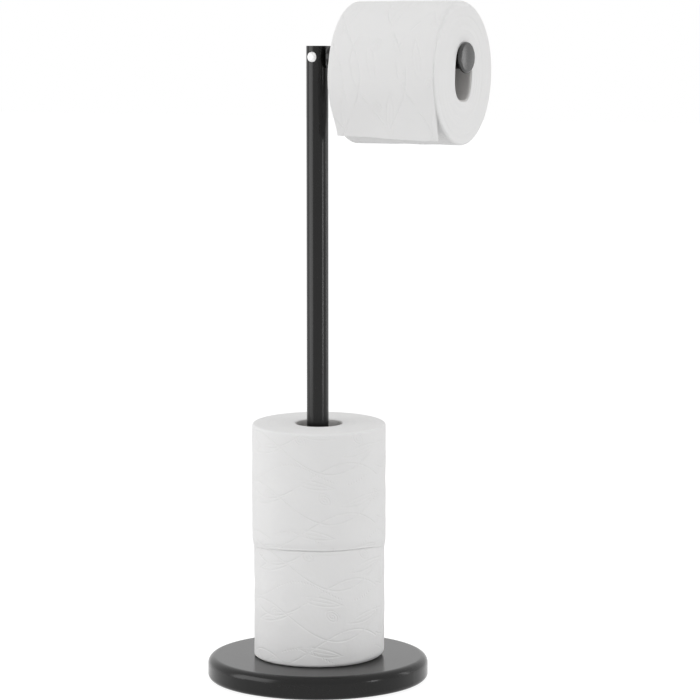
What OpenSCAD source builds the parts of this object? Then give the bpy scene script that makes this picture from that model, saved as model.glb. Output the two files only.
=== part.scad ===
// Free-standing toilet paper holder: weighted round base, round pole that
// stores two spare rolls, and an arm at the top that carries the roll in use
// and folds up so that the spare rolls can be dropped over the pole.
// Millimetres. +Z is up, +X runs out along the arm, and the origin is the
// centre of the underside of the base, on the floor.

/* [Stand] */
// Height of the pole top above the floor
stand_h = 550; // [480:5:700]
// Outside diameter of the pole and of the arm
tube_d = 19; // [16:0.5:22]
// Wall thickness of the pole and of the arm
tube_wall = 1.2; // [0.8:0.1:1.6]

/* [Base] */
// Outside diameter of the base
base_d = 192; // [160:1:240]
// Height of the top of the base above the floor
base_h = 20.5; // [19:0.5:30]
// Radius of the shoulder between the top and the side
shoulder_r = 6.5; // [4:0.5:9]
// Radius of the tuck at the foot of the side
tuck_r = 4; // [3:0.5:6]
// Thickness of the pressed steel skin
base_skin = 1.2; // [0.8:0.1:1.6]
// Thickness of the non-slip pad
pad_t = 2; // [1.5:0.5:3]

/* [Rolls] */
// Width of the paper, which is the length of every roll
roll_w = 102; // [90:1:112]
// Outside diameter of the upper spare roll
upper_roll_d = 116; // [90:1:120]
// Outside diameter of the lower spare roll
lower_roll_d = 113.5; // [90:0.5:120]
// Inside diameter of the cardboard core of a spare roll
core_bore_d = 39.6; // [36:0.2:44]
// Thickness of the cardboard
core_wall = 1; // [0.6:0.1:1.5]
// How far the loose spare rolls stand off the pole centre, along X
roll_shift_x = 0.9; // [0:0.1:3]
// How far the loose spare rolls stand off the pole centre, along Y
roll_shift_y = 0.5; // [0:0.1:3]

/* [Roll in use] */
// Height of the roll, which sags into an oval
hung_roll_h = 120; // [100:1:124]
// Width of the roll across the arm
hung_roll_across = 101; // [96:1:120]
// Height of the oval bore of its core
hung_bore_h = 45.4; // [40:0.2:50]
// Width of the oval bore of its core
hung_bore_across = 30; // [28:0.5:38]
// Angle in degrees that the roll hangs off plumb, its foot to the front
hung_swing = 4; // [0:1:8]
// Distance from the pole centre to the near end of the roll
roll_gap = 41; // [30:1:60]
// Length of the loose end of the paper
tail_len = 39; // [20:1:60]

/* [Pivot] */
// Thickness of the flat tongue on the arm
tongue_t = 4; // [3:0.5:5]
// Half height of the tongue inside the pole
tongue_r = 7; // [6.5:0.1:7.2]
// Diameter of the pivot sleeve
sleeve_d = 6; // [5:0.5:7]
// Diameter of the head of the pivot screw
screw_head_d = 9; // [7.5:0.1:9.5]
// Thickness of one friction washer
friction_t = 0.5; // [0.3:0.1:0.8]

/* [Arm end] */
// Diameter of the end cap
cap_d = 26; // [23:0.5:30]
// Thickness of the end cap
cap_t = 4.5; // [4.5:0.5:8]

/* [Hidden] */
// Radial clearance of a plug in a tube and of a pivot in its bore
fit = 0.05;
// Gap between curved faces that move past each other
gap = 0.3;
// Gap between flat faces that rest on each other
rest = 0.1;
// Overlap that makes a cut pass cleanly through a face
cut = 1;

tube_r = tube_d / 2;
tube_in_r = tube_r - tube_wall;
plug_r = tube_in_r - fit;
base_r = base_d / 2;

// Base, from the floor up
lip_z = pad_t / 2;
pad_r = base_r - tuck_r - 3;
weight_r = base_r - tuck_r - 1;
weight_t = 11;
weight_top = pad_t + weight_t;
cover_under = base_h - base_skin;
hub_r = 22;
rim_out_r = base_r - shoulder_r - 2.5;
rim_in_r = rim_out_r - 8;
corner_r = 1.5;

// M8 bolt, flat washer and spring washer in the pocket under the weight
bolt_r = 3.95;
bolt_bore_r = 4;
bolt_clear_r = 4.5;
bolt_head_af = 13;
bolt_head_t = 5.3;
washer_r = 8;
washer_t = 1.6;
spring_r = 6.5;
spring_t = 2;
spring_split = 1.2;
pocket_r = 11;
pocket_top = pad_t + rest + bolt_head_t + spring_t + washer_t;
insert_len = 30;
bolt_top = base_h + insert_len - 5;

// Pivot at the top of the pole: the top of the arm is level with the pole top
pivot_z = stand_h - tube_r;
slot_w = tongue_t + 2 * (friction_t + fit);
slot_floor = pivot_z - tongue_r - rest;
block_foot = slot_floor - 6;
wall_slot_w = slot_w + 2 * fit;
tongue_step = tube_r + 0.9;
shoulder_x = tube_r + 5;
tube_x = shoulder_x + 2;
spigot_len = 24;
sleeve_r = sleeve_d / 2;
sleeve_bore_r = 2;
screw_r = sleeve_bore_r - fit;
seat_y = tube_r - 0.5;
seat_r = screw_head_d / 2 + 0.4;
head_r = screw_head_d / 2;
head_t = 2.2;
hex_af = 2.5;
hex_depth = 0.8;
friction_r = 6;

// Arm and its end cap
roll_end = roll_gap + roll_w;
tube_end = roll_end + gap;
end_plug_len = 18;
stud_r = 4;
stud_len = 14;
cap_r = cap_d / 2;
cap_back_r = 1.2;
cap_front_r = 2.2;
cap_crown = 0.8;
cap_face_r = cap_r - cap_front_r;
cap_flat_t = cap_t - cap_crown;
crown_r = (cap_face_r * cap_face_r + cap_crown * cap_crown) / (2 * cap_crown);

// Rolls
core_r = core_bore_d / 2;
core_out_r = core_r + core_wall;
paper_in_r = core_out_r + fit;
edge_r = 2;
lower_z = base_h + rest;
upper_z = lower_z + roll_w + rest;
roll_drop = hung_bore_h / 2 - tube_r - gap;
oval_steps = 96;
tail_t = 0.5;
tail_angle = 20;
tail_bow = 2.4;
tail_steps = 10;

// Which node to show

$fn = 96;

// ---- shared shapes ----

// Half section of the base from z0 up to z1, rounded at the shoulder and foot
module base_section(r, z0, z1, top_r, foot_r) {
    union() {
        translate([0, z0])
            square([r - foot_r, z1 - z0 - top_r]);
        translate([0, z0 + foot_r])
            square([r, z1 - z0 - top_r - foot_r]);
        translate([0, z0 + foot_r])
            square([r - top_r, z1 - z0 - foot_r]);
        translate([r - top_r, z1 - top_r])
            circle(r = top_r);
        translate([r - foot_r, z0 + foot_r])
            circle(r = foot_r);
    }
}

// Cylinder lying along X
module bar_x(x0, x1, r) {
    translate([x0, 0, 0])
        rotate([0, 90, 0])
            cylinder(h = x1 - x0, r = r);
}

// Cylinder lying along Y
module bar_y(y0, y1, r) {
    translate([0, y0, 0])
        rotate([-90, 0, 0])
            cylinder(h = y1 - y0, r = r);
}

// Points of an oval, w across and h high
function oval(w, h) = [
    for (i = [0 : oval_steps - 1])
        [w / 2 * cos(i * 360 / oval_steps), h / 2 * sin(i * 360 / oval_steps)]
];

// Stands a section drawn across the arm along the roll in use
module along_roll() {
    translate([roll_gap, 0, pivot_z])
        rotate([-hung_swing, 0, 0])
            translate([0, 0, -roll_drop])
                rotate([90, 0, 90])
                    linear_extrude(height = roll_w)
                        children();
}

// Stands a spare roll on the pole with its foot at z
module on_pole(z) {
    translate([roll_shift_x, roll_shift_y, z])
        children();
}

// ---- base ----

module base_pad() {
    color([0.13, 0.13, 0.14])
        cylinder(h = pad_t, r = pad_r);
}

module base_weight() {
    color([0.32, 0.32, 0.34])
        difference() {
            union() {
                translate([0, 0, pad_t])
                    cylinder(h = weight_t, r = weight_r);
                translate([0, 0, pad_t])
                    cylinder(h = cover_under - pad_t, r = hub_r);
                translate([0, 0, pad_t])
                    cylinder(h = cover_under - pad_t, r = rim_out_r);
            }
            difference() {
                translate([0, 0, weight_top])
                    cylinder(h = cover_under, r = rim_in_r);
                translate([0, 0, weight_top - cut])
                    cylinder(h = cover_under + 2 * cut, r = hub_r);
            }
            translate([0, 0, -cut])
                cylinder(h = pocket_top + cut, r = pocket_r);
            cylinder(h = base_h, r = bolt_clear_r);
        }
}

module base_cover() {
    color([0.10, 0.10, 0.11])
        difference() {
            rotate_extrude()
                difference() {
                    base_section(base_r, lip_z, base_h, shoulder_r, tuck_r);
                    base_section(base_r - base_skin, lip_z + base_skin, cover_under,
                        shoulder_r - base_skin, tuck_r - base_skin);
                    translate([0, lip_z - cut])
                        square([base_r - tuck_r, tuck_r + cut]);
                }
            cylinder(h = base_h + cut, r = bolt_clear_r);
        }
}

module base_bolt() {
    color([0.62, 0.63, 0.65])
        union() {
            translate([0, 0, pad_t + rest])
                cylinder(h = bolt_head_t, r = bolt_head_af / sqrt(3), $fn = 6);
            translate([0, 0, pad_t + rest])
                cylinder(h = bolt_top - pad_t - rest, r = bolt_r);
        }
}

module base_spring_washer() {
    color([0.55, 0.56, 0.58])
        translate([0, 0, pad_t + rest + bolt_head_t])
            difference() {
                cylinder(h = spring_t, r = spring_r);
                translate([0, 0, -cut])
                    cylinder(h = spring_t + 2 * cut, r = bolt_bore_r);
                translate([0, -spring_split / 2, -cut])
                    cube([spring_r + cut, spring_split, spring_t + 2 * cut]);
            }
}

module base_washer() {
    color([0.70, 0.71, 0.73])
        translate([0, 0, pocket_top - washer_t])
            difference() {
                cylinder(h = washer_t, r = washer_r);
                translate([0, 0, -cut])
                    cylinder(h = washer_t + 2 * cut, r = bolt_clear_r);
            }
}

// ---- pole ----

module pole_insert() {
    color([0.58, 0.58, 0.60])
        translate([0, 0, base_h])
            difference() {
                cylinder(h = insert_len, r = plug_r);
                translate([0, 0, -cut])
                    cylinder(h = insert_len + 2 * cut, r = bolt_bore_r);
            }
}

module pole_tube() {
    color([0.10, 0.10, 0.11])
        difference() {
            translate([0, 0, base_h])
                cylinder(h = stand_h - base_h, r = tube_r);
            translate([0, 0, base_h - cut])
                cylinder(h = stand_h - base_h + 2 * cut, r = tube_in_r);
            // opening for the tongue, towards the arm
            translate([0, -wall_slot_w / 2, slot_floor])
                cube([tube_r + cut, wall_slot_w, stand_h - slot_floor + cut]);
            // pivot holes and the flats that the heads sit on
            translate([0, 0, pivot_z]) {
                bar_y(-tube_r - cut, tube_r + cut, sleeve_r + fit);
                bar_y(-tube_r - cut, -seat_y, seat_r);
                bar_y(seat_y, tube_r + cut, seat_r);
            }
        }
}

// ---- pivot ----

module pivot_block() {
    color([0.16, 0.16, 0.17])
        difference() {
            translate([0, 0, block_foot])
                cylinder(h = stand_h - block_foot, r = plug_r);
            translate([-tube_r, -slot_w / 2, slot_floor])
                cube([tube_d, slot_w, stand_h - slot_floor + cut]);
            translate([0, 0, pivot_z])
                bar_y(-tube_r, tube_r, sleeve_r + fit);
        }
}

// Sleeve nut, put in from the back
module pivot_sleeve() {
    color([0.78, 0.79, 0.80])
        translate([0, 0, pivot_z])
            difference() {
                union() {
                    bar_y(-seat_y + rest, seat_y, sleeve_r);
                    button_head(1);
                }
                bar_y(-tube_r, seat_y, sleeve_bore_r);
            }
}

// Domed head on the flat of the pole, on the side that dir points to
module button_head(dir) {
    dome_r = (head_r * head_r + head_t * head_t) / (2 * head_t);
    rotate([-90 * dir, 0, 0])
        translate([0, 0, seat_y])
            rotate_extrude()
                intersection() {
                    square([head_r, head_t]);
                    translate([0, head_t - dome_r])
                        circle(r = dome_r);
                }
}

// Button-head screw, put in from the front
module pivot_screw() {
    color([0.90, 0.90, 0.91])
        translate([0, 0, pivot_z])
            difference() {
                union() {
                    button_head(-1);
                    bar_y(-seat_y, 4, screw_r);
                }
                translate([0, -seat_y - head_t - cut, 0])
                    rotate([-90, 0, 0])
                        cylinder(h = hex_depth + cut, r = hex_af / sqrt(3), $fn = 6);
            }
}

// The two friction washers, one each side of the tongue
module pivot_washers() {
    color([0.85, 0.84, 0.80])
        translate([0, 0, pivot_z])
            for (side = [-1, 1])
                translate([0, side * (tongue_t + fit + friction_t) / 2, 0])
                    difference() {
                        bar_y(-friction_t / 2, friction_t / 2, friction_r);
                        bar_y(-friction_t, friction_t, sleeve_r + fit);
                    }
}

// ---- arm ----

// Turned end fitting: a flat tongue, a shoulder and a spigot for the tube
module arm_tongue() {
    color([0.12, 0.12, 0.13])
        translate([0, 0, pivot_z])
            difference() {
                union() {
                    bar_y(-tongue_t / 2, tongue_t / 2, tongue_r);
                    translate([0, -tongue_t / 2, -tongue_r])
                        cube([shoulder_x, tongue_t, 2 * tongue_r]);
                    intersection() {
                        translate([tongue_step, -tongue_t / 2, -tube_r])
                            cube([shoulder_x - tongue_step, tongue_t, tube_d]);
                        bar_x(0, tube_x, tube_r);
                    }
                    bar_x(shoulder_x, tube_x, tube_r);
                    bar_x(shoulder_x, tube_x + spigot_len, plug_r);
                }
                bar_y(-tongue_t, tongue_t, sleeve_r + fit);
            }
}

module arm_tube() {
    color([0.10, 0.10, 0.11])
        translate([0, 0, pivot_z])
            difference() {
                bar_x(tube_x, tube_end, tube_r);
                bar_x(tube_x - cut, tube_end + cut, tube_in_r);
            }
}

module arm_plug() {
    color([0.20, 0.20, 0.21])
        translate([0, 0, pivot_z])
            difference() {
                bar_x(tube_end - end_plug_len, tube_end, plug_r);
                bar_x(tube_end - end_plug_len - cut, tube_end + cut, stud_r + fit);
            }
}

// Domed end cap with the stud that screws into the plug
module arm_cap() {
    color([0.12, 0.12, 0.13])
        translate([tube_end, 0, pivot_z])
            rotate([0, 90, 0])
                rotate_extrude()
                    union() {
                        cap_section();
                        translate([0, -stud_len])
                            square([stud_r, stud_len + cap_back_r]);
                    }
}

// Half section of the head of the cap, from its back face up to the crown
module cap_section() {
    intersection() {
        square([cap_r, cap_t]);
        union() {
            square([cap_r - cap_back_r, cap_flat_t - cap_front_r]);
            translate([0, cap_back_r])
                square([cap_r, cap_flat_t - cap_front_r - cap_back_r]);
            square([cap_face_r, cap_flat_t]);
            translate([cap_r - cap_back_r, cap_back_r])
                circle(r = cap_back_r);
            intersection() {
                translate([cap_face_r, cap_flat_t - cap_front_r])
                    circle(r = cap_front_r);
                translate([0, cap_flat_t - cap_front_r])
                    square([cap_r, cap_front_r]);
            }
            intersection() {
                translate([0, cap_flat_t - cap_crown])
                    square([cap_face_r, 2 * cap_crown]);
                translate([0, cap_t - crown_r])
                    circle(r = crown_r);
            }
        }
    }
}

// ---- roll in use ----

module hung_core() {
    color([0.72, 0.70, 0.66])
        along_roll()
            difference() {
                polygon(oval(hung_bore_across + 2 * core_wall, hung_bore_h + 2 * core_wall));
                polygon(oval(hung_bore_across, hung_bore_h));
            }
}

module hung_paper() {
    color([0.95, 0.95, 0.94])
        along_roll()
            difference() {
                polygon(oval(hung_roll_across, hung_roll_h));
                polygon(oval(hung_bore_across + 2 * core_wall + 2 * fit,
                    hung_bore_h + 2 * core_wall + 2 * fit));
            }
}

// Point where the loose end leaves the roll, and the way it heads from there
tail_p = [-hung_roll_across / 2 * cos(tail_angle), -hung_roll_h / 2 * sin(tail_angle)];
tail_v = [hung_roll_across / 2 * sin(tail_angle), -hung_roll_h / 2 * cos(tail_angle)];
tail_u = tail_v / norm(tail_v);
tail_n = [tail_u[1], -tail_u[0]];

// Point of the loose end at fraction u of its length, off the roll by d
function tail_at(u, d) =
    tail_p + tail_u * tail_len * u + tail_n * (d + tail_bow * u * u);

module hung_tail() {
    color([0.95, 0.95, 0.94])
        along_roll()
            polygon(concat(
                [for (i = [0 : tail_steps]) tail_at(i / tail_steps, rest)],
                [for (i = [tail_steps : -1 : 0]) tail_at(i / tail_steps, rest + tail_t)]
            ));
}

// ---- spare rolls ----

module spare_core() {
    difference() {
        cylinder(h = roll_w, r = core_out_r);
        translate([0, 0, -cut])
            cylinder(h = roll_w + 2 * cut, r = core_r);
    }
}

module spare_paper(d) {
    rotate_extrude()
        difference() {
            base_section(d / 2, 0, roll_w, edge_r, edge_r);
            translate([0, -cut])
                square([paper_in_r, roll_w + 2 * cut]);
        }
}

module lower_core() {
    color([0.72, 0.70, 0.66])
        on_pole(lower_z)
            spare_core();
}

module lower_paper() {
    color([0.95, 0.95, 0.94])
        on_pole(lower_z)
            spare_paper(lower_roll_d);
}

module upper_core() {
    color([0.72, 0.70, 0.66])
        on_pole(upper_z)
            spare_core();
}

module upper_paper() {
    color([0.95, 0.95, 0.94])
        on_pole(upper_z)
            spare_paper(upper_roll_d);
}

base_pad();
base_weight();
base_cover();
base_bolt();
base_washer();
base_spring_washer();
pole_insert();
pole_tube();
pivot_block();
pivot_sleeve();
pivot_screw();
pivot_washers();
arm_tongue();
arm_tube();
arm_plug();
arm_cap();
hung_core();
hung_paper();
hung_tail();
lower_core();
lower_paper();
upper_core();
upper_paper();
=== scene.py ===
import math
import random

import bpy
import numpy as np
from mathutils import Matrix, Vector, noise


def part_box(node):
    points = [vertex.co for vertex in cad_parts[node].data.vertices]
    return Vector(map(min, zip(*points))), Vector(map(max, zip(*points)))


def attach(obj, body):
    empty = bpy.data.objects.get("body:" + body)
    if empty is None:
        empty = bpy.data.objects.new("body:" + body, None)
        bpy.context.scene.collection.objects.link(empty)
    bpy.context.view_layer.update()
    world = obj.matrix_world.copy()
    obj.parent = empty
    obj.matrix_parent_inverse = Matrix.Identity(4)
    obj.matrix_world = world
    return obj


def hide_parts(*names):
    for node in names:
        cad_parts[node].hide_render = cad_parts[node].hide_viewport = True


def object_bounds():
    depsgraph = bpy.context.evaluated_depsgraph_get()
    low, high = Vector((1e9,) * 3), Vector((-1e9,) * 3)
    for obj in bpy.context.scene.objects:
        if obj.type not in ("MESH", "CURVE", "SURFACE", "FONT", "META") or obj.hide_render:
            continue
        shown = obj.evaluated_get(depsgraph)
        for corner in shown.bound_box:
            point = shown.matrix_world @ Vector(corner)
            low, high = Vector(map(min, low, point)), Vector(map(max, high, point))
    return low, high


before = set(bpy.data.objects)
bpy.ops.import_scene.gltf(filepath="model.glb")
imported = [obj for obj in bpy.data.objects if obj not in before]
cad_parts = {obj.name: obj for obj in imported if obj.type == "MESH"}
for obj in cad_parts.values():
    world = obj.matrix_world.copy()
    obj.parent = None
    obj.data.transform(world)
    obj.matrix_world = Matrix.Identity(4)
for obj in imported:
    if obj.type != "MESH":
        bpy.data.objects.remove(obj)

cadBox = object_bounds()
scene = bpy.context.scene
scene.view_settings.view_transform = "Standard"
print("stand frame loaded")


class Sock:
    # one shader value that takes Python arithmetic
    def __init__(self, tree, out, node):
        self.tree = tree
        self.out = out
        self.node = node

    def join(self, operation, first, second):
        return self.tree.add("ShaderNodeMath", {"operation": operation}, {0: first, 1: second})

    def __add__(self, other):
        return self.join("ADD", self, other)

    def __radd__(self, other):
        return self.join("ADD", other, self)

    def __sub__(self, other):
        return self.join("SUBTRACT", self, other)

    def __rsub__(self, other):
        return self.join("SUBTRACT", other, self)

    def __mul__(self, other):
        return self.join("MULTIPLY", self, other)

    def __rmul__(self, other):
        return self.join("MULTIPLY", other, self)

    def __truediv__(self, other):
        return self.join("DIVIDE", self, other)

    def __pow__(self, other):
        return self.join("POWER", self, other)

    def __mod__(self, other):
        return self.join("FLOORED_MODULO", self, other)


class Shader:
    # the node tree of one material, or of the world
    def __init__(self, owner):
        owner.use_nodes = True
        self.tree = owner.node_tree
        self.tree.nodes.clear()

    def add(self, kind, settings=None, values=None, out=0):
        node = self.tree.nodes.new(kind)
        for key, value in (settings or {}).items():
            setattr(node, key, value)
        for key, value in (values or {}).items():
            if isinstance(value, Sock):
                self.tree.links.new(value.out, node.inputs[key])
            else:
                node.inputs[key].default_value = value
        return Sock(self, node.outputs[out] if len(node.outputs) else None, node)

    def step(self, value, low, high):  # smooth 0 to 1 as value goes from low to high
        return self.add("ShaderNodeMapRange", {"interpolation_type": "SMOOTHSTEP"},
                        {"Value": value, "From Min": low, "From Max": high, "To Min": 0.0, "To Max": 1.0})

    def noise(self, where, scale, detail=3.0, rough=0.5):
        return self.add("ShaderNodeTexNoise", None,
                        {"Vector": where, "Scale": scale, "Detail": detail, "Roughness": rough})

    def mixColour(self, factor, first, second):
        return self.add("ShaderNodeMix", {"data_type": "RGBA"}, {0: factor, 6: first, 7: second}, out=2)

    def math(self, operation, first, second=0.0):
        return self.add("ShaderNodeMath", {"operation": operation}, {0: first, 1: second})

    def split(self, vector):  # the three parts of a vector
        parts = self.add("ShaderNodeSeparateXYZ", None, {"Vector": vector})
        return [Sock(self, parts.node.outputs[i], parts.node) for i in range(3)]

    def length2(self, a, b):
        return (a * a + b * b) ** 0.5

    def seenRays(self):  # 1 for rays from the eye, from gloss and through glass
        rays = self.add("ShaderNodeLightPath")
        glossy = Sock(self, rays.node.outputs["Is Glossy Ray"], rays.node)
        through = Sock(self, rays.node.outputs["Is Transmission Ray"], rays.node)
        return self.math("MAXIMUM", rays, self.math("MAXIMUM", glossy, through))

    def finish(self, surface):
        self.add("ShaderNodeOutputMaterial", None, {"Surface": surface})


def colour(grey, warm=0.0):  # a grey, pushed a little to warm or cool
    return (grey * (1 + warm), grey, grey * (1 - warm), 1)


coat = {"base": 0.006, "mottle": 0.003, "rough": 0.19, "roughVary": 0.05,
        "peelScale": 260.0, "peelDepth": 0.000005, "cloudScale": 34.0, "ior": 1.35}


def satinCoat(name, spec):  # satin black powder coat: fine orange peel, faint mottling
    mat = bpy.data.materials.new(name)
    sh = Shader(mat)
    where = sh.add("ShaderNodeTexCoord", out=3)
    peel = sh.noise(where, spec["peelScale"], 2.0)
    cloud = sh.noise(where, spec["cloudScale"], 4.0)
    tint = sh.mixColour(cloud, colour(spec["base"]), colour(spec["base"] + spec["mottle"], 0.03))
    rough = spec["rough"] + spec["roughVary"] * (cloud - 0.5)
    bump = sh.add("ShaderNodeBump", None, {"Height": peel, "Distance": spec["peelDepth"], "Strength": 1.0})
    sh.finish(sh.add("ShaderNodeBsdfPrincipled", None,
                     {"Base Color": tint, "Roughness": rough, "Normal": bump, "IOR": spec["ior"]}))
    return mat


def plainMetal(name, base, rough, grain=900.0, depth=0.00002, warm=0.0, metallic=1.0, vary=0.08):
    mat = bpy.data.materials.new(name)
    sh = Shader(mat)
    where = sh.add("ShaderNodeTexCoord", out=3)
    fine = sh.noise(where, grain, 3.0)
    cloud = sh.noise(where, 60.0, 4.0)
    tint = sh.mixColour(cloud, colour(base * (1 - vary), warm), colour(base, warm))
    bump = sh.add("ShaderNodeBump", None, {"Height": fine, "Distance": depth, "Strength": 1.0})
    sh.finish(sh.add("ShaderNodeBsdfPrincipled", None,
                     {"Base Color": tint, "Roughness": rough + 0.08 * (cloud - 0.5),
                      "Metallic": metallic, "Normal": bump}))
    return mat


def moulded(name, base, rough, warm=0.0):  # moulded plastic or rubber with a fine spark texture
    return plainMetal(name, base, rough, 1400.0, 0.000015, warm, 0.0, 0.15)


blackCoat = satinCoat("blackCoat", coat)
capPlastic = satinCoat("capPlastic", dict(coat, base=0.010, rough=0.24, ior=1.7))
castIron = plainMetal("castIron", 0.20, 0.62, 420.0, 0.0004)
zincSteel = plainMetal("zincSteel", 0.62, 0.34)
# nickel plate made near-white and half matt: a painted sheen that stands in for the lamps' bright reflection
# on the pivot screw and sleeve
nickelPaintedSheen = plainMetal("nickelPaintedSheen", 0.95, 0.38, 700.0, 0.000004, 0.0, 0.45, 0.02)
padRubber = moulded("padRubber", 0.03, 0.8)
blackNylon = moulded("blackNylon", 0.02, 0.45)
whiteNylon = moulded("whiteNylon", 0.75, 0.45, 0.03)

nodeFinish = {
    "base_pad": padRubber, "base_weight": castIron, "base_cover": blackCoat,
    "base_bolt": zincSteel, "base_washer": zincSteel, "base_spring_washer": zincSteel,
    "pole_insert": zincSteel, "pole_tube": blackCoat,
    "pivot_block": blackNylon, "pivot_sleeve": nickelPaintedSheen, "pivot_screw": nickelPaintedSheen,
    "pivot_washers": whiteNylon,
    "arm_tongue": blackCoat, "arm_tube": blackCoat, "arm_plug": blackNylon, "arm_cap": capPlastic,
}
for nodeName, finish in nodeFinish.items():
    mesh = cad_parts[nodeName].data
    mesh.materials.clear()
    mesh.materials.append(finish)
print("stand finishes done")

paper = {"tone": 0.86, "edgeTone": 0.87, "warm": 0.003, "rough": 0.92,
         "embossDepth": 0.00040, "lineWidth": 0.0013,
         "vinePitch": 0.044, "vineLength": 0.150, "vineSwing": 0.0165,
         "leafPitch": 0.088, "leafLength": 0.0375, "leafWide": 0.0070,
         "sprayPitch": 0.0586, "spraySwing": 0.0085,
         "curlPitch": 0.052, "curlSize": 0.0062, "curlGap": 0.0025,
         "vineWeight": 0.60, "leafWeight": 0.50, "otherLeafWeight": 0.45,
         "sprayWeight": 0.50, "curlWeight": 0.45,
         "wornScale": 75.0, "wornLow": 0.30, "wornHigh": 0.52,
         "fibreWeight": 0.12, "pillowWeight": 0.30, "crumpleWeight": 2.6,
         "fibreScale": 1300.0, "pillowScale": 170.0, "crumpleScale": 34.0,
         "sprayStretch": 0.64, "sprayDots": 2400.0, "curlSlant": 0.4,
         "ringScale": 1900.0, "bandScale": 300.0, "ringSquash": 0.012, "edgeDepth": 0.00014}


def tissueWrap(name, spec):  # soft white tissue embossed with crossing vines, leaves, dotted sprays and curls
    mat = bpy.data.materials.new(name)
    sh = Shader(mat)
    wrap = sh.add("ShaderNodeAttribute", {"attribute_name": "wrap"}, out=1)
    around, along = sh.split(wrap)[:2]

    def cell(value, pitch, shift):
        return ((value / pitch + shift) % 1.0 - 0.5) * pitch

    def line(distance, width):
        return 1 - sh.step(sh.math("ABSOLUTE", distance), 0.0, width)

    def vine(swing, length, shift, pitch, place):
        wave = sh.math("SINE", around * (2 * math.pi / length) + shift)
        return cell(along - wave * swing, pitch, place)

    def leaves(shiftAround, shiftAlong, lean):
        a = cell(around, spec["leafPitch"], shiftAround)
        b = cell(along, spec["leafPitch"] / 2, shiftAlong) + a * lean
        half, wide = spec["leafLength"] / 2, spec["leafWide"] / 2
        arc = (half * half + wide * wide) / (2 * wide)  # radius of the two arcs that meet at the leaf's tips
        upper = sh.length2(a, b + (arc - wide))
        lower = sh.length2(a, b - (arc - wide))
        rim = line(sh.math("MAXIMUM", upper, lower) - arc, spec["lineWidth"])
        rib = line(b, spec["lineWidth"] * 0.7) * (1 - sh.step(sh.math("ABSOLUTE", a), half * 0.5, half * 0.8))
        return sh.math("MAXIMUM", rim, rib * 0.6)

    thin = spec["lineWidth"]
    rising = vine(spec["vineSwing"], spec["vineLength"], 0.3, spec["vinePitch"], 0.15)
    falling = vine(-spec["vineSwing"], spec["vineLength"], 0.9, spec["vinePitch"], 0.62)
    vines = sh.math("MAXIMUM", line(rising, thin), line(falling, thin))
    sprayLength = spec["vineLength"] * spec["sprayStretch"]
    spray = line(vine(spec["spraySwing"], sprayLength, 2.1, spec["sprayPitch"], 0.38), thin)
    spray = spray * sh.step(sh.math("SINE", around * spec["sprayDots"]), -0.3, 0.5)
    a = cell(around + along * spec["curlSlant"], spec["curlPitch"], 0.2)
    b = cell(along, spec["curlPitch"], 0.65)
    reach = sh.length2(a, b)
    spiral = (reach / spec["curlGap"] + sh.math("ARCTAN2", b, a) / (2 * math.pi)) % 1.0 - 0.5
    curl = line(spiral * spec["curlGap"], spec["lineWidth"] * 0.8)
    curl = curl * (1 - sh.step(reach, spec["curlSize"] * 0.9, spec["curlSize"]))
    lines = sh.math("MAXIMUM", vines * spec["vineWeight"], leaves(0.1, 0.2, 0.18) * spec["leafWeight"])
    lines = sh.math("MAXIMUM", lines, leaves(0.6, 0.55, -0.22) * spec["otherLeafWeight"])
    lines = sh.math("MAXIMUM", lines, spray * spec["sprayWeight"])
    lines = sh.math("MAXIMUM", lines, curl * spec["curlWeight"])
    worn = sh.noise(wrap, spec["wornScale"], 3.0)
    lines = lines * sh.step(worn, spec["wornLow"], spec["wornHigh"])
    fibre = sh.noise(wrap, spec["fibreScale"], 3.0, 0.65)
    pillow = sh.noise(wrap, spec["pillowScale"], 2.0)
    crumple = sh.noise(wrap, spec["crumpleScale"], 3.0, 0.5)
    height = spec["fibreWeight"] * fibre + spec["pillowWeight"] * pillow
    height = height + spec["crumpleWeight"] * crumple - lines
    bump = sh.add("ShaderNodeBump", None,
                  {"Height": height, "Distance": spec["embossDepth"], "Strength": 0.9})
    # colour: random fibre tone, plus painted shade that darkens the embossed lines a little
    tone = sh.mixColour(lines * 0.12 + (fibre - 0.5) * 0.25,
                        colour(spec["tone"], spec["warm"]), colour(spec["tone"] * 0.95, spec["warm"]))
    sh.finish(sh.add("ShaderNodeBsdfPrincipled", None,
                     {"Base Color": tone, "Roughness": spec["rough"], "Normal": bump,
                      "Specular IOR Level": 0.25, "Sheen Weight": 0.15, "Sheen Roughness": 0.6}))
    return mat


def tissueEdge(name, spec):  # the wound edges of the sheets: fine rings with soft bands
    mat = bpy.data.materials.new(name)
    sh = Shader(mat)
    wrap = sh.add("ShaderNodeAttribute", {"attribute_name": "wrap"}, out=1)
    around, depth = sh.split(wrap)[::2]
    stretched = sh.add("ShaderNodeCombineXYZ", None, {0: around * spec["ringSquash"], 1: depth, 2: 0.0})
    fine = sh.noise(stretched, spec["ringScale"], 2.0, 0.6)
    band = sh.noise(stretched, spec["bandScale"], 2.0, 0.5)
    fuzz = sh.noise(wrap, spec["fibreScale"], 3.0, 0.6)
    height = 0.35 * fine + 0.6 * band + 0.3 * fuzz
    bump = sh.add("ShaderNodeBump", None, {"Height": height, "Distance": spec["edgeDepth"], "Strength": 0.6})
    mask = 0.45 * band + 0.3 * fine + 0.25 * fuzz
    tone = sh.mixColour(mask, colour(spec["edgeTone"] * 0.95, spec["warm"]),
                        colour(spec["edgeTone"] * 1.02, spec["warm"]))
    sh.finish(sh.add("ShaderNodeBsdfPrincipled", None,
                     {"Base Color": tone, "Roughness": 0.95, "Normal": bump, "Specular IOR Level": 0.2}))
    return mat


card = {"tone": 0.70, "warm": 0.02, "twist": 0.055, "slant": 1.15, "grooveWide": 0.014,
        "fibreScale": 1100.0, "cloudScale": 120.0, "depth": 0.0002}


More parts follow.
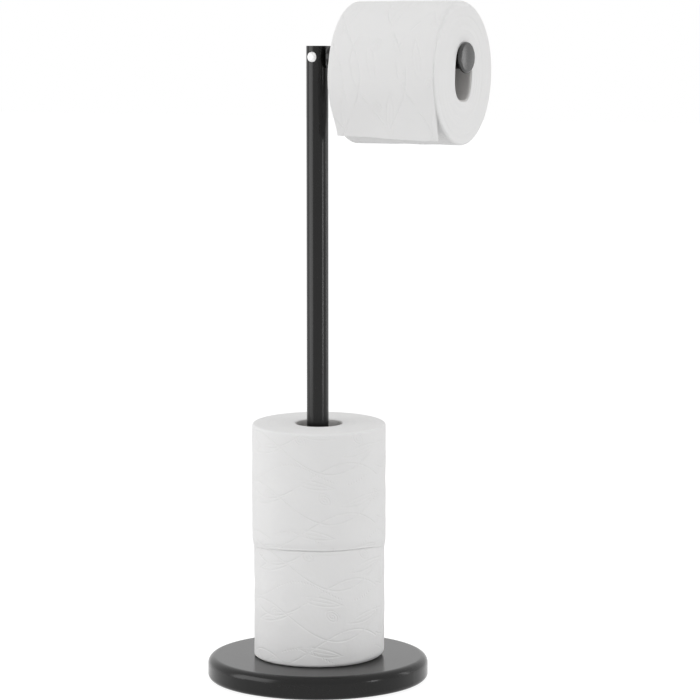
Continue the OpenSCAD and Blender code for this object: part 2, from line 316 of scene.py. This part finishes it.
def cardTube(name, spec):  # grey spiral-wound cardboard
    mat = bpy.data.materials.new(name)
    sh = Shader(mat)
    wrap = sh.add("ShaderNodeAttribute", {"attribute_name": "wrap"}, out=1)
    around, along = sh.split(wrap)[:2]
    seam = (around + along * spec["slant"]) / spec["twist"] % 1.0
    groove = 1 - sh.step(sh.math("ABSOLUTE", seam - 0.5), 0.0, spec["grooveWide"])
    fibre = sh.noise(wrap, spec["fibreScale"], 4.0, 0.7)
    cloud = sh.noise(wrap, spec["cloudScale"], 3.0)
    bump = sh.add("ShaderNodeBump", None,
                  {"Height": fibre * 0.35 + cloud * 0.4 - groove, "Distance": spec["depth"], "Strength": 0.8})
    tone = sh.mixColour(fibre * 0.6 + cloud * 0.4, colour(spec["tone"] * 0.82, spec["warm"]),
                        colour(spec["tone"] * 1.12, spec["warm"]))
    tone = sh.mixColour(groove * 0.5, tone, colour(spec["tone"] * 0.6, spec["warm"]))
    sh.finish(sh.add("ShaderNodeBsdfPrincipled", None,
                     {"Base Color": tone, "Roughness": 0.9, "Normal": bump, "Specular IOR Level": 0.25}))
    return mat


wrapTissue = tissueWrap("wrapTissue", paper)
edgeTissue = tissueEdge("edgeTissue", paper)
coreCard = cardTube("coreCard", card)
print("paper finishes done")


def waves(seed, count, size):  # a smooth closed wave round a roll
    rng = random.Random(seed)
    terms = [(m + 1, rng.uniform(0, 2 * math.pi), rng.uniform(0.5, 1) * size / (m + 1)) for m in range(count)]
    return lambda a: sum(s * math.sin(m * a + p) for m, p, s in terms)


def addMesh(name, points, faces, wraps, slots, materials, girth=0.0):
    mesh = bpy.data.meshes.new(name)
    mesh.from_pydata(points, [], faces)
    mesh.update()
    layer = mesh.attributes.new("wrap", "FLOAT_VECTOR", "CORNER")
    values = []
    for face in mesh.polygons:
        closing = max(face.vertices) - min(face.vertices) > len(points) / 2  # joins the last cut to the first
        for i in face.vertices:
            u, v, depth = wraps[i]
            values += [u + girth if closing and i < len(points) / 2 else u, v, depth]
    layer.data.foreach_set("vector", np.array(values, dtype=np.float32))
    for material in materials:
        mesh.materials.append(material)
    mesh.polygons.foreach_set("material_index", slots)
    mesh.polygons.foreach_set("use_smooth", [True] * len(mesh.polygons))
    obj = bpy.data.objects.new(name, mesh)
    scene.collection.objects.link(obj)
    return obj


def ovalArc(across, high, steps):  # arc length round an oval up to each step
    total = [0.0]
    for i in range(steps):
        a, b = 2 * math.pi * i / steps, 2 * math.pi * (i + 1) / steps
        total.append(total[-1] + math.hypot(across / 2 * (math.cos(b) - math.cos(a)),
                                            high / 2 * (math.sin(b) - math.sin(a))))
    return total


def boreShape(a, across, high, power):  # point of the squared oval of a core
    ca, sa = math.cos(a), math.sin(a)
    return Vector((across / 2 * math.copysign(abs(ca) ** (2 / power), ca),
                   high / 2 * math.copysign(abs(sa) ** (2 / power), sa)))


def tip(spec, p, along):  # the upper end of a loose roll leans towards the front
    front = math.radians(spec["front"])
    forward = p.x * math.cos(front) + p.y * math.sin(front)
    return along - forward * math.tan(math.radians(spec["tip"])) * along / spec["length"]


def paperRoll(name, spec, place):
    turns, length = spec["turns"], spec["length"]
    sag = waves(spec["seed"], 5, spec["sag"])
    lip = [waves(spec["seed"] + 1, 6, spec["lip"]), waves(spec["seed"] + 2, 6, spec["lip"])]
    rng = random.Random(spec["seed"] + 3)
    rings = spec["rings"]
    steps = [[0.0], [0.0]]  # how far each ring of sheets stands in or out, at the two ends
    for end in (0, 1):
        for i in range(rings):
            steps[end].append(steps[end][-1] * spec["ringHold"] + rng.uniform(-1, 1) * spec["ring"])
    ringWave = [[waves(spec["seed"] + 10 + i + 50 * end, 3, spec["ring"]) for i in range(rings + 1)]
                for end in (0, 1)]
    arc = ovalArc(spec["across"], spec["high"], turns)
    hem = waves(spec["seed"] + 4, 5, spec["hemVary"])

    def skirt(a):  # how far the outer sheets slip past the first end, most at the two sides
        side = math.cos(2 * (a - math.radians(spec["front"])))
        return spec["slip"] * (1 + hem(a) - spec["slipVary"] * side)

    def edgeSize(a, end):
        soft = spec["edge"]
        for centre, atEnd, extra in spec["soft"]:
            if atEnd == end:
                soft += extra * max(0.0, math.cos(a - math.radians(centre))) ** 3
        return soft

    def section(a):  # one radial cut: points as (inward, along, depth, slot)
        cut = []
        for i in range(5):
            cut.append(("in", 1 - i / 5, 1.0, 0))
        e0, e1 = edgeSize(a, 0), edgeSize(a, 1)
        for i in range(rings):
            f = i / rings
            cut.append(("face0", f, steps[0][rings - i] + ringWave[0][rings - i](a), e0))
        for i in range(8):
            cut.append(("edge0", i / 8, steps[0][0] + lip[0](a), e0))
        for i in range(spec["tall"]):
            cut.append(("side", i / spec["tall"], e0 - skirt(a), e1))
        for i in range(8):
            cut.append(("edge1", i / 8, steps[1][0] + lip[1](a), e1))
        for i in range(rings + 1):
            f = 1 - i / rings
            cut.append(("face1", f, steps[1][min(rings, i)] + ringWave[1][min(rings, i)](a), e1))
        return cut

    points, wraps, kinds = [], [], []
    for t in range(turns):
        a = 2 * math.pi * t / turns
        ca, sa = math.cos(a), math.sin(a)
        inner = boreShape(a, spec["boreAcross"], spec["boreHigh"], spec["borePower"])
        outer = Vector((spec["across"] / 2 * ca, spec["high"] / 2 * sa))
        normal = Vector((ca / spec["across"], sa / spec["high"])).normalized()
        thick = (outer - inner).length
        for kind, f, extra, e in section(a):
            if kind == "in":
                p, along, depth = inner, length * f, thick
            elif kind in ("face0", "face1"):
                edge = outer - normal * e
                p = inner.lerp(edge, f)
                # flat where the core and the outer edge hold it
                fade = min(1.0, 6 * (1 - f)) * min(1.0, 8 * f)
                drop = extra * fade
                along = drop if kind == "face0" else length - drop
                depth = thick * (1 - f)
            elif kind in ("edge0", "edge1"):
                s = f * math.pi / 2
                if kind == "edge0":
                    p = outer - normal * (e * (1 - math.sin(s)) + spec["tuck"] * math.sin(s) ** 5)
                    along = e * (1 - math.cos(s)) - skirt(a) * math.sin(s) ** 5
                    depth = e * (1 - math.sin(s))
                else:
                    p = outer - normal * e * (1 - math.cos(s))
                    along = length - e * (1 - math.sin(s))
                    depth = e * (1 - math.cos(s))
            else:
                along = extra + (length - extra - e) * f
                hold = math.sin(math.pi * min(1.0, max(0.0, along / length)))
                where = Vector((60 * ca, 60 * sa, along * 1000 + 900 * spec["seed"]))
                soft = noise.noise(where / spec["softScale"])
                p = outer + normal * (sag(a) + spec["softness"] * soft) * hold
                p = p - normal * spec["tuck"] * math.exp(-((along - extra) / spec["tuckReach"]) ** 2)
                depth = 0.0
            points.append(place(p.x, p.y, tip(spec, p, along)))
            wraps.append((arc[t], along, depth))
            kinds.append(kind)
    row = len(points) // turns
    faces, slots = [], []
    for t in range(turns):
        n = (t + 1) % turns
        for i in range(row):
            j = (i + 1) % row
            faces.append((t * row + i, n * row + i, n * row + j, t * row + j))
            slots.append(0 if kinds[i] in ("side", "edge1", "edge0") else 1)
    obj = addMesh(name, points, faces, wraps, slots, [wrapTissue, edgeTissue], arc[-1])
    fixNormals(obj)
    return obj


def fixNormals(obj):  # turns the faces outwards
    mesh = obj.data
    volume = 0.0
    for face in mesh.polygons:
        corners = [mesh.vertices[i].co for i in face.vertices]
        for i in range(1, len(corners) - 1):
            volume += corners[0].dot(corners[i].cross(corners[i + 1]))
    if volume < 0:
        mesh.flip_normals()


def cardCore(name, spec, place):
    turns, tall, length = 160, 40, spec["length"]
    arc = ovalArc(spec["boreAcross"], spec["boreHigh"], turns)
    wobble = waves(spec["seed"] + 7, 5, spec["cardWobble"])
    points, wraps = [], []
    loop = [(0, i / tall) for i in range(tall + 1)] + [(1, 1 - i / tall) for i in range(tall + 1)]
    wall = spec["wall"]
    for t in range(turns):
        a = 2 * math.pi * t / turns
        seat = spec["cardSeat"]  # the card stands just inside the paper
        outer = boreShape(a, spec["boreAcross"] - seat, spec["boreHigh"] - seat, spec["borePower"])
        inner = boreShape(a, spec["boreAcross"] - 2 * wall, spec["boreHigh"] - 2 * wall, spec["borePower"])
        for side, f in loop:
            p = outer if side else inner
            inset = spec["cardInset"] + abs(wobble(a))
            along = inset + (length - 2 * inset) * f
            points.append(place(p.x, p.y, tip(spec, p, along)))
            wraps.append((arc[t], along, 0.0))
    row = len(loop)
    faces = []
    for t in range(turns):
        n = (t + 1) % turns
        for i in range(row):
            j = (i + 1) % row
            faces.append((t * row + i, n * row + i, n * row + j, t * row + j))
    obj = addMesh(name, points, faces, wraps, [0] * len(faces), [coreCard], arc[-1])
    obj.modifiers.new("rim", "BEVEL").width = spec["cardEdge"]
    fixNormals(obj)
    return obj


spareRoll = {"length": 0.102, "boreAcross": 0.0417, "boreHigh": 0.0417, "borePower": 2.0, "wall": 0.001,
             "tip": 0.0, "front": -59.0,
             "turns": 240, "tall": 60, "rings": 34,
             "edge": 0.0018, "sag": 0.0004, "lip": 0.0003, "ring": 0.00012, "slip": 0.0, "tuck": 0.0,
             "softness": 0.00045, "softScale": 17.0, "soft": [],
             "ringHold": 0.55, "hemVary": 0.35, "slipVary": 0.42, "tuckReach": 0.0035,
             "cardSeat": 0.00012, "cardInset": 0.0004, "cardWobble": 0.00012, "cardEdge": 0.00015}
hungRoll = dict(spareRoll, across=0.101, high=0.120, boreAcross=0.0292, boreHigh=0.0475, borePower=2.8,
                drop=0.0129, swing=4.0, seed=31, edge=0.0022, sag=0.0005,
                soft=[(90, 1, 0.003)])
upperRoll = dict(spareRoll, across=0.116, high=0.116, seed=11, slip=0.0044, tip=2.4,
                 lip=0.0006, tuck=0.0009)
lowerRoll = dict(spareRoll, across=0.1135, high=0.1135, seed=21, edge=0.0024,
                 soft=[(12, 0, 0.004)])

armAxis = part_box("arm_tube")
armZ = (armAxis[0][2] + armAxis[1][2]) / 2
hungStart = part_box("hung_paper")[0][0]


def standOn(node):  # places a spare roll where its CAD solid stands
    low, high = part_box(node)
    cx, cy = (low[0] + high[0]) / 2, (low[1] + high[1]) / 2
    return lambda p, q, along: (cx + p, cy + q, low[2] + along)


def hangOn(p, q, along):  # places the roll in use on the arm
    lean = math.radians(hungRoll["swing"])
    y, z = p, q - hungRoll["drop"]
    turned = y * math.cos(lean) + z * math.sin(lean)
    return (hungStart + along, turned, armZ - y * math.sin(lean) + z * math.cos(lean))


rollPlaces = [
    ("hung", hungRoll, hangOn, "hung_roll"),
    ("upper", upperRoll, standOn("upper_paper"), "upper_roll"),
    ("lower", lowerRoll, standOn("lower_paper"), "lower_roll"),
]
for label, spec, place, body in rollPlaces:
    wound = paperRoll(label + "Paper", spec, place)
    tube = cardCore(label + "Core", spec, place)
    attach(wound, body)
    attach(tube, body)
    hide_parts(label + "_paper")
    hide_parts(label + "_core")
    print(label, "roll wound")


looseEnd = {"angle": (34.0, 21.0), "length": (0.0245, 0.0385), "lift": 0.0003, "under": 26.0,
            "rows": 44, "columns": 120, "before": 14, "thick": 0.00028, "teeth": 0.0004,
            "ripple": 0.0006, "rippleAcross": 1.3, "rippleStart": 0.4, "rippleDown": 0.8,
            "bow": 0.0006, "inset": 0.0006, "sunk": 0.0006, "seed": 5}


def hangLooseEnd(spec):  # leaves the roll lower at the pole end, where it clings to the sheets below it
    w, h = hungRoll["across"] / 2, hungRoll["high"] / 2
    ripple = waves(spec["seed"], 4, spec["ripple"])
    rng = random.Random(spec["seed"])
    width, inset = hungRoll["length"], spec["inset"]
    arc = ovalArc(hungRoll["across"], hungRoll["high"], hungRoll["turns"])
    columns, area, longest = [], 0.0, 0.0
    for j in range(spec["columns"] + 1):
        g = j / spec["columns"]
        ease = g * g * (3 - 2 * g)
        leave = math.radians(spec["angle"][0] + (spec["angle"][1] - spec["angle"][0]) * ease)
        free = spec["length"][0] + (spec["length"][1] - spec["length"][0]) * ease
        top = math.radians(spec["angle"][1] - spec["under"])
        path, wraps, gone, last = [], [], 0.0, None
        start = arc[int(hungRoll["turns"] * (math.pi + top) / (2 * math.pi))]
        down = Vector((w * math.sin(leave), -h * math.cos(leave))).normalized()
        out = Vector((down.y, -down.x))
        for i in range(spec["before"] + spec["rows"] + 1):
            if i < spec["before"]:
                f = i / spec["before"]
                turn = top + (leave - top) * f
                n = Vector((-math.cos(turn) / w, -math.sin(turn) / h)).normalized()
                p = Vector((-w * math.cos(turn), -h * math.sin(turn)))
                p = p + n * (-spec["sunk"] + (spec["sunk"] + spec["lift"]) * min(1.0, 2 * f))
            else:
                f = (i - spec["before"]) / spec["rows"]
                place = g * math.pi * spec["rippleAcross"] + spec["rippleStart"]
                wave = ripple(place + spec["rippleDown"] * f) * f
                p = Vector((-w * math.cos(leave), -h * math.sin(leave))) + down * free * f
                p = p + out * (spec["lift"] + spec["bow"] * f * f + wave)
                if f == 1.0:
                    p = p - down * rng.uniform(0, 1) * spec["teeth"]
            gone += (p - last).length if last is not None else 0.0
            last = p
            path.append(hangOn(p.x, p.y, inset + (width - 2 * inset) * g))
            wraps.append((start + gone, inset + (width - 2 * inset) * g, 0.0))
        columns.append((path, wraps))
        area += gone * (width - 2 * inset) / (spec["columns"] + 1)
        longest = max(longest, gone)
    rows = spec["before"] + spec["rows"] + 1
    points = [columns[j][0][i] for i in range(rows) for j in range(spec["columns"] + 1)]
    wraps = [columns[j][1][i] for i in range(rows) for j in range(spec["columns"] + 1)]
    row = spec["columns"] + 1
    faces = [(i * row + j, i * row + j + 1, (i + 1) * row + j + 1, (i + 1) * row + j)
             for i in range(rows - 1) for j in range(spec["columns"])]
    obj = addMesh("hungTail", points, faces, wraps, [0] * len(faces), [wrapTissue])
    ply = obj.modifiers.new("ply", "SOLIDIFY")
    ply.thickness = spec["thick"]
    ply.offset = 0.0
    return obj, longest, area


tail, tailLength, tailArea = hangLooseEnd(looseEnd)
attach(tail, "hung_roll")
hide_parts("hung_tail")
print("loose end hung, flat length", round(tailLength * 1000, 1), "mm")


view = {"turn": 30.8, "distance": 2.473, "sideways": 0.0280, "height": 0.5572, "pitch": 6.209, "lens": 147.82}


def placeCamera(spec):
    turn = math.radians(spec["turn"])
    right = Vector((math.cos(turn), math.sin(turn), 0))
    back = Vector((math.sin(turn), -math.cos(turn), 0))
    data = bpy.data.cameras.new("viewCamera")
    data.lens = spec["lens"]
    data.sensor_width = 36.0
    data.clip_end = 50.0
    cam = bpy.data.objects.new("viewCamera", data)
    cam.location = back * spec["distance"] + right * spec["sideways"] + Vector((0, 0, spec["height"]))
    cam.rotation_euler = (math.radians(90 - spec["pitch"]), 0, turn)
    scene.collection.objects.link(cam)
    scene.camera = cam


placeCamera(view)

lamps = {  # turn counts from the front; gloss and matt say which surfaces a lamp lights
    "leftBox": {"turn": -72.0, "middle": 0.45, "distance": 1.9, "width": 1.8, "height": 2.2,
                "watts": 18.0, "matt": True, "gloss": True},
    "leftSheen": {"turn": -72.0, "middle": 0.45, "distance": 1.85, "width": 1.4, "height": 2.2,
                  "watts": 13.0, "matt": False, "gloss": True},
    "rightStrip": {"turn": 59.0, "middle": 0.17, "distance": 1.9, "width": 0.26, "height": 0.5,
                   "watts": 3.0, "matt": True, "gloss": True},
    "rimStrip": {"turn": 104.0, "middle": 0.55, "distance": 1.9, "width": 0.18, "height": 1.0,
                 "watts": 2.0, "matt": False, "gloss": True},
    "rightFill": {"turn": 62.0, "middle": 0.55, "distance": 2.2, "width": 1.5, "height": 2.0,
                  "watts": 8.0, "matt": True, "gloss": False},
}


def placeLamp(name, spec):
    flat = math.radians(view["turn"] + spec["turn"])
    towards = Vector((math.sin(flat), -math.cos(flat), 0))
    data = bpy.data.lights.new(name, "AREA")
    data.shape = "RECTANGLE"
    data.size = spec["width"]
    data.size_y = spec["height"]
    data.energy = spec["watts"]
    lamp = bpy.data.objects.new(name, data)
    lamp.location = towards * spec["distance"] + Vector((0, 0, spec["middle"]))
    lamp.rotation_euler = towards.to_track_quat("Z", "Y").to_euler()
    lamp.visible_diffuse = spec["matt"]
    lamp.visible_glossy = spec["gloss"]
    scene.collection.objects.link(lamp)


for lampName, lampSpec in lamps.items():
    placeLamp(lampName, lampSpec)

surround = {"front": 0.54, "back": 0.74, "above": 0.87, "below": 0.55}


def lightSurround(spec):  # even light all round, white to the eye, to gloss and through glass
    world = bpy.data.worlds.new("surround")
    scene.world = world
    sh = Shader(world)
    seen = sh.seenRays()
    where = sh.add("ShaderNodeTexCoord", out=0)
    turn = math.radians(view["turn"])
    away = sh.add("ShaderNodeVectorMath", {"operation": "DOT_PRODUCT"},
                  {0: where, 1: (-math.sin(turn), math.cos(turn), 0.0)}, out=1)
    up = sh.split(where)[2]
    level = spec["front"] + (spec["back"] - spec["front"]) * sh.step(away, -0.75, 0.1)
    level = level + (spec["above"] - level) * sh.step(up, 0.35, 0.95)
    level = level + (spec["below"] - level) * sh.step(0 - up, 0.05, 0.6)
    level = level + (1 - level) * seen
    glow = sh.add("ShaderNodeBackground", None, {"Color": (1, 1, 1, 1), "Strength": level})
    sh.add("ShaderNodeOutputWorld", None, {"Surface": glow})


lightSurround(surround)

ground = {"size": 30.0, "tone": 0.72, "shadow": 0.10, "lit": 2.6, "grainScale": 60.0, "below": 0.0002}


def layFloor(spec):
    half = spec["size"] / 2
    mesh = bpy.data.meshes.new("floor")
    corners = [(-half, -half, 0), (half, -half, 0), (half, half, 0), (-half, half, 0)]
    mesh.from_pydata(corners, [], [(0, 1, 2, 3)])
    floor = bpy.data.objects.new("floor", mesh)
    floor.location.z = cadBox[0][2] - spec["below"]
    scene.collection.objects.link(floor)
    mat = bpy.data.materials.new("paleFloor")
    sh = Shader(mat)
    where = sh.add("ShaderNodeTexCoord", out=3)
    grain = sh.noise(where, spec["grainScale"], 3.0)
    tone = sh.mixColour(grain, colour(spec["tone"] * 0.97), colour(spec["tone"]))
    seen = sh.seenRays()
    matt = sh.add("ShaderNodeBsdfDiffuse", None, {"Color": tone})
    lit = sh.add("ShaderNodeBsdfDiffuse", None, {"Color": colour(spec["shadow"] * spec["lit"])})
    glow = sh.add("ShaderNodeEmission", None, {"Color": (1, 1, 1, 1), "Strength": 1 - spec["shadow"]})
    white = sh.add("ShaderNodeAddShader", None, {0: lit, 1: glow})
    sh.finish(sh.add("ShaderNodeMixShader", None, {0: seen, 1: matt, 2: white}))
    mesh.materials.append(mat)


layFloor(ground)
print("studio lit")
